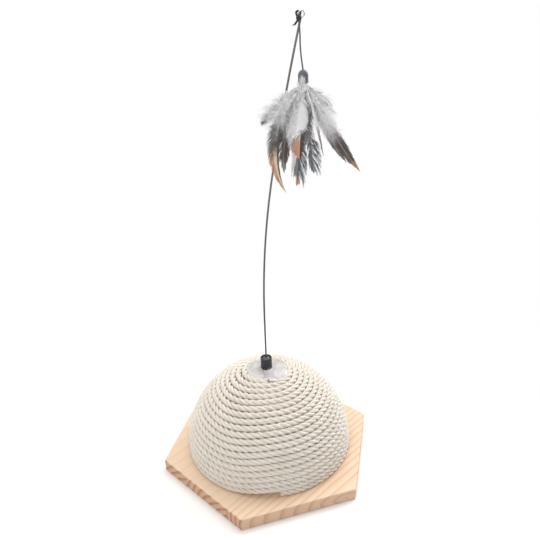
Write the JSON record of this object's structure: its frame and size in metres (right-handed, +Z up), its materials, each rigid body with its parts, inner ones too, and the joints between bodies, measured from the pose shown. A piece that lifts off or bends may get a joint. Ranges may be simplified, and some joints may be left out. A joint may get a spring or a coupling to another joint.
{
  "type": "cat scratcher",
  "caption": "Hexagonal wooden board with a rope-wound scratching dome and a feather teaser that hangs from a springy upright wire.",
  "frame": {"origin": "centre of the board's underside, on the axis of the dome", "axes": "+Z up along the dome's axis; two corners of the hexagon lie on the X axis and two flats face +Y and -Y"},
  "size_m": [0.207, 0.18, 0.3918],
  "materials": {
    "pine": "fine-sanded, unvarnished",
    "zinc_steel": "bright zinc",
    "white_polypropylene": "as moulded",
    "cotton_rope": "twisted natural cotton",
    "plush": "short plush",
    "black_plastic": "matt",
    "grey_rubber": "matt",
    "black_rubber": "matt",
    "spring_steel": "bare",
    "wire_sleeve": "satin",
    "black_cord": "braided",
    "slate_plastic": "matt",
    "clear_glue": "hot-melt",
    "feather_white": "downy",
    "feather_brown": "barbed vane, rust tip",
    "feather_grey": "barbed vane"
  },
  "bodies": {
    "base": {"base_board": "pine", "board_screws": "zinc_steel", "dome_former": "white_polypropylene", "rope_winding": "cotton_rope", "crown_pad": "plush", "socket_cup": "black_plastic", "socket_washer": "zinc_steel", "socket_screw": "zinc_steel", "wire_plug": "grey_rubber"},
    "stop_ball": {"wire_stop_ball": "black_rubber"},
    "wire": {"wire_core": "spring_steel", "wire_sleeve": "wire_sleeve", "wire_collar": "black_rubber"},
    "loop": {"cord_loop": "black_cord"},
    "cord": {"cord": "black_cord", "cord_stop_knot": "black_cord"},
    "bunch": {"feather_cap": "slate_plastic", "quill_glue": "clear_glue", "feather_back": "feather_brown", "feather_back_right": "feather_white", "feather_front_thin": "feather_brown", "feather_front_white": "feather_white", "feather_left_dark": "feather_grey", "feather_left_fluff": "feather_white", "feather_left_long": "feather_brown", "feather_middle_long": "feather_grey", "feather_middle_short": "feather_grey", "feather_right_fluff": "feather_white", "feather_right_long": "feather_brown", "feather_right_second": "feather_grey", "feather_right_spike": "feather_grey"}
  },
  "joints": [
    {"name": "wire_sway_fore", "type": "hinge", "parent": "base", "child": "stop_ball", "pos_m": [0, 0, 0.10211], "axis": [1, 0, 0], "range_deg": [-35, 35], "stiffness_Nm_per_rad": 0.0763, "springref_deg": -0.39, "deforming": ["wire_plug", "wire_stop_ball"]},
    {"name": "wire_sway_side", "type": "hinge", "parent": "stop_ball", "child": "wire", "pos_m": [0, 0, 0.10211], "axis": [0, 1, 0], "range_deg": [-35, 35], "stiffness_Nm_per_rad": 0.0763, "springref_deg": -0.22},
    {"name": "loop_rock", "type": "hinge", "parent": "wire", "child": "loop", "pos_m": [0.02092, -0.03901, 0.38931], "axis": [0.9613, -0.2756, 0], "range_deg": [-40, 4]},
    {"name": "cord_swing", "type": "hinge", "parent": "loop", "child": "cord", "pos_m": [0.02038, -0.04125, 0.385], "axis": [0.2756, 0.9613, 0], "range_deg": [-30, 9]},
    {"name": "bunch_turn", "type": "hinge", "parent": "cord", "child": "bunch", "pos_m": [0.0231, -0.0414, 0.352], "axis": [0, 0, 1], "range_deg": [-15, 45]}
  ]
}
